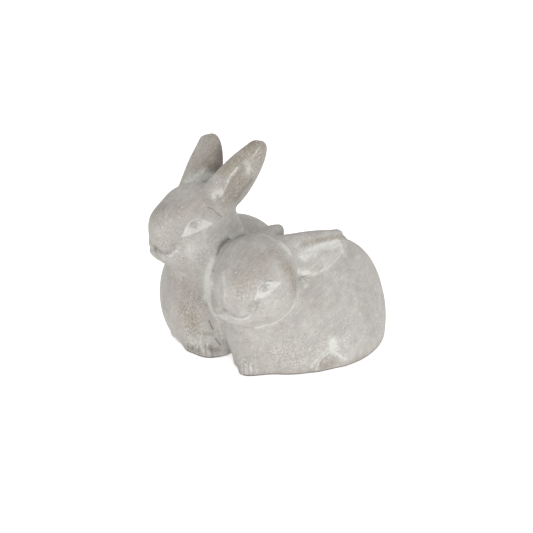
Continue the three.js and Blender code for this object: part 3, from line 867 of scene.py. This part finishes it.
def finish_of(points, out):
    """The strength of each finish, painted shade and highlights among them, at each point, from 0 to
    about 1.
    """
    shares = {}
    for name, marks in FINISHES.items():
        bare = np.ones(len(points))
        for daub in marks:
            near = nearness(points, line_on(daub.seat, daub.places), daub.half_width)
            bare *= 1 - daub.strength * near
        shares[name] = 1 - bare
    _, eye_wash_and_highlight, wiped = eye_marks(points)
    shares["wash"] = np.maximum(shares["wash"] * (1 - wiped), eye_wash_and_highlight)
    # Painted contact shadow, with dirt, darkens the foot of the base.
    base_shadow_and_dirt = BASE_SHADOW_AND_DIRT.strength * smooth(BASE_SHADOW_AND_DIRT.start - points[:, 2] / BASE_SHADOW_AND_DIRT.height)
    shares["stain_and_shade"] = np.maximum(shares["stain_and_shade"], base_shadow_and_dirt)
    close = smooth(shut_in(points, out, RECESS.close) / RECESS.close_full)
    wide = smooth((shut_in(points, out, RECESS.wide) - RECESS.wide_start) / RECESS.wide_rise)
    recess = RECESS.close_strength * close + RECESS.wide_strength * wide
    shares["recess"] = np.clip(recess, 0, 1)
    thin = 1 + measured(casting, points - THIN.reach * out) / THIN.reach
    shares["edge"] = smooth(thin / THIN.full)
    return shares


# ---------------------------------------------------------------- building the skin


def skin_mesh(points, faces, shares):
    """A smooth-shaded mesh that carries the finishes as attributes."""
    mesh = bpy.data.meshes.new("casting")
    mesh.vertices.add(len(points))
    mesh.vertices.foreach_set("co", points.astype(np.float32).ravel())
    mesh.loops.add(faces.size)
    mesh.loops.foreach_set("vertex_index", faces.astype(np.int32).ravel())
    mesh.polygons.add(len(faces))
    mesh.polygons.foreach_set("loop_start", np.arange(0, faces.size, 3, dtype=np.int32))
    mesh.update(calc_edges=True)
    mesh.shade_smooth()
    for name, values in shares.items():
        layer = mesh.attributes.new(name, "FLOAT", "POINT")
        layer.data.foreach_set("value", values.astype(np.float32))
    return mesh


def build_skin():
    """The skin, and the scale and shift that bring the millimetres used here into the frame."""
    low, high = np.array(SEARCH_LOW), np.array(SEARCH_HIGH)
    net, quads = surface_net(grid_values(casting, low, high, GRID))
    points = settled(casting, low + net * GRID)
    faces = np.concatenate([quads[:, [0, 1, 2]], quads[:, [0, 2, 3]]])
    for _ in range(REFINEMENTS):
        near = near_tooling(points)
        points, faces = refined(points, faces, near[faces].all(1))
        points = settled(casting, points, rounds=1)
    _, out = outward(casting, points)
    shares = finish_of(points, out)
    points = points + out * tooled(points)[:, None]
    points[:, 2] = np.maximum(points[:, 2], 0)
    own_low, own_high = points.min(0), points.max(0)
    scale = (FRAME_HIGH - FRAME_LOW)[0] / (own_high - own_low)[0]
    shift = (FRAME_LOW + FRAME_HIGH) / 2 - (own_low + own_high) / 2 * scale
    shift[2] = FRAME_LOW[2]
    skin = bpy.data.objects.new("casting_skin", skin_mesh(points * scale + shift, faces, shares))
    bpy.context.scene.collection.objects.link(skin)
    return skin, scale, shift


# ---------------------------------------------------------------- materials


class Nodes:
    """A node tree, with short ways to add the nodes used here."""

    def __init__(self, tree):
        self.tree = tree

    def feed(self, socket, value):
        """Links a node's output to a socket, or sets the socket to a plain value."""
        if isinstance(value, bpy.types.NodeSocket):
            self.tree.links.new(value, socket)
        else:
            socket.default_value = value

    def add(self, kind, settings=None, **inputs):
        """A node with its settings and inputs. An input is named with _ for each space."""
        node = self.tree.nodes.new(kind)
        for name, value in (settings or {}).items():
            setattr(node, name, value)
        for name, value in inputs.items():
            self.feed(node.inputs[name.replace("_", " ")], value)
        return node

    def math(self, operation, *values, clamp=False):
        node = self.add("ShaderNodeMath", {"operation": operation, "use_clamp": clamp})
        for socket, value in zip(node.inputs, values):
            self.feed(socket, value)
        return node.outputs[0]

    def total(self, *terms, clamp=False):
        """The sum of terms, each a value and what it is multiplied by."""
        result = 0.0
        for value, factor in terms:
            result = self.math("MULTIPLY_ADD", value, factor, result)
        return self.math("ADD", result, 0.0, clamp=clamp)

    def ramp(self, value, low, high, to_low=0.0, to_high=1.0):
        """From to_low where the value is at low, eased to to_high where it is at high."""
        node = self.add("ShaderNodeMapRange", {"interpolation_type": "SMOOTHSTEP"})
        for socket, given in zip(node.inputs, (value, low, high, to_low, to_high)):
            self.feed(socket, given)
        return node.outputs["Result"]

    def blend(self, share, first, second):
        """From the first colour to the second. A mix node's colours are its inputs 6 and 7."""
        node = self.add("ShaderNodeMix", {"data_type": "RGBA"})
        for place, value in ((0, share), (6, first), (7, second)):
            self.feed(node.inputs[place], value)
        return node.outputs[2]

    def noise(self, vector, scale, detail=3.0, roughness=0.55):
        """Noise about 0, mostly within a quarter to each side."""
        inputs = dict(Vector=vector, Scale=scale, Detail=detail, Roughness=roughness)
        node = self.add("ShaderNodeTexNoise", **inputs)
        return self.math("SUBTRACT", node.outputs["Fac"], 0.5)

    def share(self, name):
        """How strong a finish is at each point of the skin."""
        return self.add("ShaderNodeAttribute", {"attribute_name": name}).outputs["Fac"]


def new_material(name):
    """A material, its nodes and the inputs of its shader."""
    material = bpy.data.materials.new(name)
    material.use_nodes = True
    return material, Nodes(material.node_tree), material.node_tree.nodes["Principled BSDF"].inputs


def linear(*channels):
    """A colour from its usual 0 to 255 values."""
    shares = [channel / 255 for channel in channels]
    return (*[s / 12.92 if s <= 0.04045 else ((s + 0.055) / 1.055) ** 2.4 for s in shares], 1)


def air_holes(nodes, mm):
    """Small round holes left by air, crowded where the skin is pitted."""
    cells = nodes.add("ShaderNodeTexVoronoi", Vector=mm, Scale=HOLES.per_mm)
    chances = nodes.add("ShaderNodeSeparateColor", Color=cells.outputs["Color"])
    wanted = nodes.total((nodes.share("pits"), HOLES.crowded), (1.0, HOLES.everywhere))
    present = nodes.math("LESS_THAN", chances.outputs["Red"], wanted)
    radius = nodes.total((chances.outputs["Green"], HOLES.spread), (1.0, HOLES.radius))
    edge = nodes.math("DIVIDE", cells.outputs["Distance"], radius)
    return nodes.math("MULTIPLY", nodes.ramp(edge, low=1.0, high=0.5), present)


def brush_strokes(nodes, mm):
    """Long thin strokes of the brush, rising towards the tails."""
    turn = nodes.add("ShaderNodeMapping", {"vector_type": "TEXTURE"}, Vector=mm)
    turn.inputs["Rotation"].default_value = [math.radians(angle) for angle in STROKES.turn]
    turn.inputs["Scale"].default_value = (STROKES.length, STROKES.width, STROKES.width)
    return nodes.noise(turn.outputs["Vector"], 1.0, roughness=0.6)


def brush_scribbles(nodes, mm, blotch):
    """Fine curling lines of whitewash, in patches."""
    curls = nodes.noise(mm, 0.3, detail=2.0, roughness=0.4)
    line = nodes.ramp(nodes.math("ABSOLUTE", curls), low=0.06, high=0.0)
    patches = nodes.total((nodes.share("scribbles"), 1.0), (blotch, 1.6), (1.0, -0.12), clamp=True)
    return nodes.math("MULTIPLY", line, patches)


def cement():
    """Brown-grey cement under a thin, uneven film of whitewash, thick in daubs and recesses, with
    stains, painted shade and painted highlights.
    """
    material, nodes, inputs = new_material("whitewashed_cement")
    place = nodes.add("ShaderNodeTexCoord").outputs["Object"]
    mm = nodes.add("ShaderNodeVectorMath", {"operation": "SCALE"}, Vector=place, Scale=MM_PER_METRE)
    mm = mm.outputs["Vector"]
    cloud = nodes.noise(mm, 0.05)
    blotch = nodes.noise(mm, 0.17, detail=4.0, roughness=0.6)
    speck = nodes.noise(mm, 0.75, detail=3.0, roughness=0.65)
    grain = nodes.noise(mm, 1.9, detail=2.0, roughness=0.7)
    ragged = nodes.noise(mm, 0.45, detail=6.0, roughness=0.75)
    strokes = brush_strokes(nodes, mm)
    scribbles = brush_scribbles(nodes, mm, blotch)
    holes = air_holes(nodes, mm)

    rubbed = nodes.math("MULTIPLY", nodes.share("rubbed"), nodes.total((1.0, 1.0), (blotch, 2.0)))
    coarseness = nodes.total((1.0, 0.55), (nodes.share("pits"), 0.8))
    texture = nodes.math("MULTIPLY", nodes.total((speck, 1.1), (grain, 0.9)), coarseness)
    film = nodes.total(
        (1.0, FILM.everywhere), (cloud, 0.5), (blotch, 0.8), (texture, 1.0), (strokes, 0.6),
        (scribbles, 0.4), (rubbed, -FILM.rubbed), (nodes.share("edge"), -FILM.edge), clamp=True,
    )
    brown = nodes.ramp(blotch, low=-0.15, high=0.15)
    bare = nodes.blend(brown, linear(*BARE_GREY), linear(*BARE_BROWN))
    bare = nodes.blend(nodes.math("MULTIPLY", rubbed, 0.8, clamp=True), bare, linear(*RUBBED_BROWN))
    colour = nodes.blend(film, bare, linear(*FILM_WHITE))
    # Whitewash gathered in recesses and left by the brush, with the painted highlights along the
    # resting rabbit's nose and in its pupils.
    gathered = nodes.math("MULTIPLY", nodes.share("recess"), 0.45)
    left = nodes.math("MAXIMUM", nodes.share("wash"), gathered)
    patch = nodes.total((left, 1.0), (ragged, 1.6), (strokes, 0.4))
    patch = nodes.ramp(patch, low=0.25, high=0.85)
    haze = nodes.math("MULTIPLY", left, nodes.total((1.0, 0.6), (speck, 1.4), (ragged, 1.2)))
    daub = nodes.total((patch, 0.35), (haze, 0.75), (scribbles, 0.2), clamp=True)
    colour = nodes.blend(daub, colour, linear(*DAUB_WHITE))
    # Stains, and painted shade: in the crevice, the mouths and the creases by the paws, along the
    # chin, on the far side of the resting face, along the far ear's rear edge and at the foot of the
    # base.
    stain_and_shade = nodes.total((nodes.share("stain_and_shade"), 1.0), (ragged, 0.7), (speck, 0.4))
    stain_and_shade = nodes.ramp(stain_and_shade, low=0.1, high=1.1)
    stain_and_shade = nodes.math("MULTIPLY", stain_and_shade, nodes.math("SUBTRACT", 1.0, daub))
    colour = nodes.blend(nodes.math("MULTIPLY", stain_and_shade, 0.9), colour, linear(*STAIN_AND_SHADE_DARK))
    colour = nodes.blend(nodes.math("MULTIPLY", holes, 0.75), colour, linear(*HOLE_WHITE))

    height = nodes.total((speck, 0.15), (grain, 0.1), (strokes, 0.1), (daub, 0.08), (holes, -0.12))
    bump = nodes.add("ShaderNodeBump", Strength=0.8, Distance=0.001, Height=height)
    nodes.feed(inputs["Base Color"], colour)
    nodes.feed(inputs["Roughness"], nodes.total((1.0, 0.92), (speck, -0.15), clamp=True))
    nodes.feed(inputs["Normal"], bump.outputs["Normal"])
    inputs["Specular IOR Level"].default_value = 0.25
    return material


def floor_paint():
    """A pale, dull floor that glows a little, so that it stays near white."""
    material, _, inputs = new_material("pale_floor")
    inputs["Base Color"].default_value = FLOOR_WHITE
    inputs["Roughness"].default_value = 0.9
    inputs["Specular IOR Level"].default_value = 0.1
    inputs["Emission Color"].default_value = (1, 1, 1, 1)
    inputs["Emission Strength"].default_value = FLOOR_GLOW
    return material


# ---------------------------------------------------------------- the casting in the frame

skin, skin_scale, skin_shift = build_skin()
skin.data.materials.append(cement())
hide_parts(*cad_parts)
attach(skin, "root")

# ---------------------------------------------------------------- floor, light and camera


def toward(azimuth, elevation):
    """The direction from the statue to a place seen at these angles."""
    a, e = math.radians(azimuth), math.radians(elevation)
    return np.array([math.sin(a) * math.cos(e), -math.cos(a) * math.cos(e), math.sin(e)])


def look_at(name, data, target, away):
    """An object put at a distance from a target and turned to look at it."""
    thing = bpy.data.objects.new(name, data)
    thing.location = target + away
    flat = math.hypot(away[0], away[1])
    thing.rotation_euler = (math.atan2(flat, away[2]), 0, math.atan2(away[0], -away[1]))
    bpy.context.scene.collection.objects.link(thing)
    return thing


def add_softbox(name, azimuth, elevation, distance, width, power):
    """A round lamp, turned to the middle of the statue."""
    lamp = bpy.data.lights.new(name, "AREA")
    lamp.shape, lamp.size, lamp.energy = "DISK", width, power
    look_at(name, lamp, (FRAME_LOW + FRAME_HIGH) / 2, toward(azimuth, elevation) * distance)


def add_studio():
    """An even white room, a little darker overhead."""
    world = bpy.data.worlds.new("studio")
    bpy.context.scene.world = world
    world.use_nodes = True
    nodes = Nodes(world.node_tree)
    direction = nodes.add("ShaderNodeTexCoord").outputs["Generated"]
    height = nodes.add("ShaderNodeSeparateXYZ", Vector=direction).outputs["Z"]
    background = world.node_tree.nodes["Background"].inputs
    background["Color"].default_value = (1, 1, 1, 1)
    glow = nodes.ramp(height, 0.2, 0.9, to_low=STUDIO.around, to_high=STUDIO.overhead)
    nodes.feed(background["Strength"], glow)


bpy.ops.mesh.primitive_plane_add(size=FLOOR_SIZE)
floor = bpy.context.active_object
floor.name = "floor"
floor.data.materials.append(floor_paint())
floor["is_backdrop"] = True
add_studio()
add_softbox(
    "front_softbox", azimuth=-22, elevation=4, distance=1.2, width=0.8, power=STUDIO.softbox
)

camera_data = bpy.data.cameras.new("camera")
camera_data.lens = CAMERA.lens
camera_data.clip_start, camera_data.clip_end = 0.05, 50
aim = np.array(CAMERA.target) * skin_scale + skin_shift
away = toward(CAMERA.azimuth, CAMERA.elevation) * CAMERA.distance * skin_scale
bpy.context.scene.camera = look_at("camera", camera_data, aim, away)
bpy.context.scene.view_settings.view_transform = "Standard"
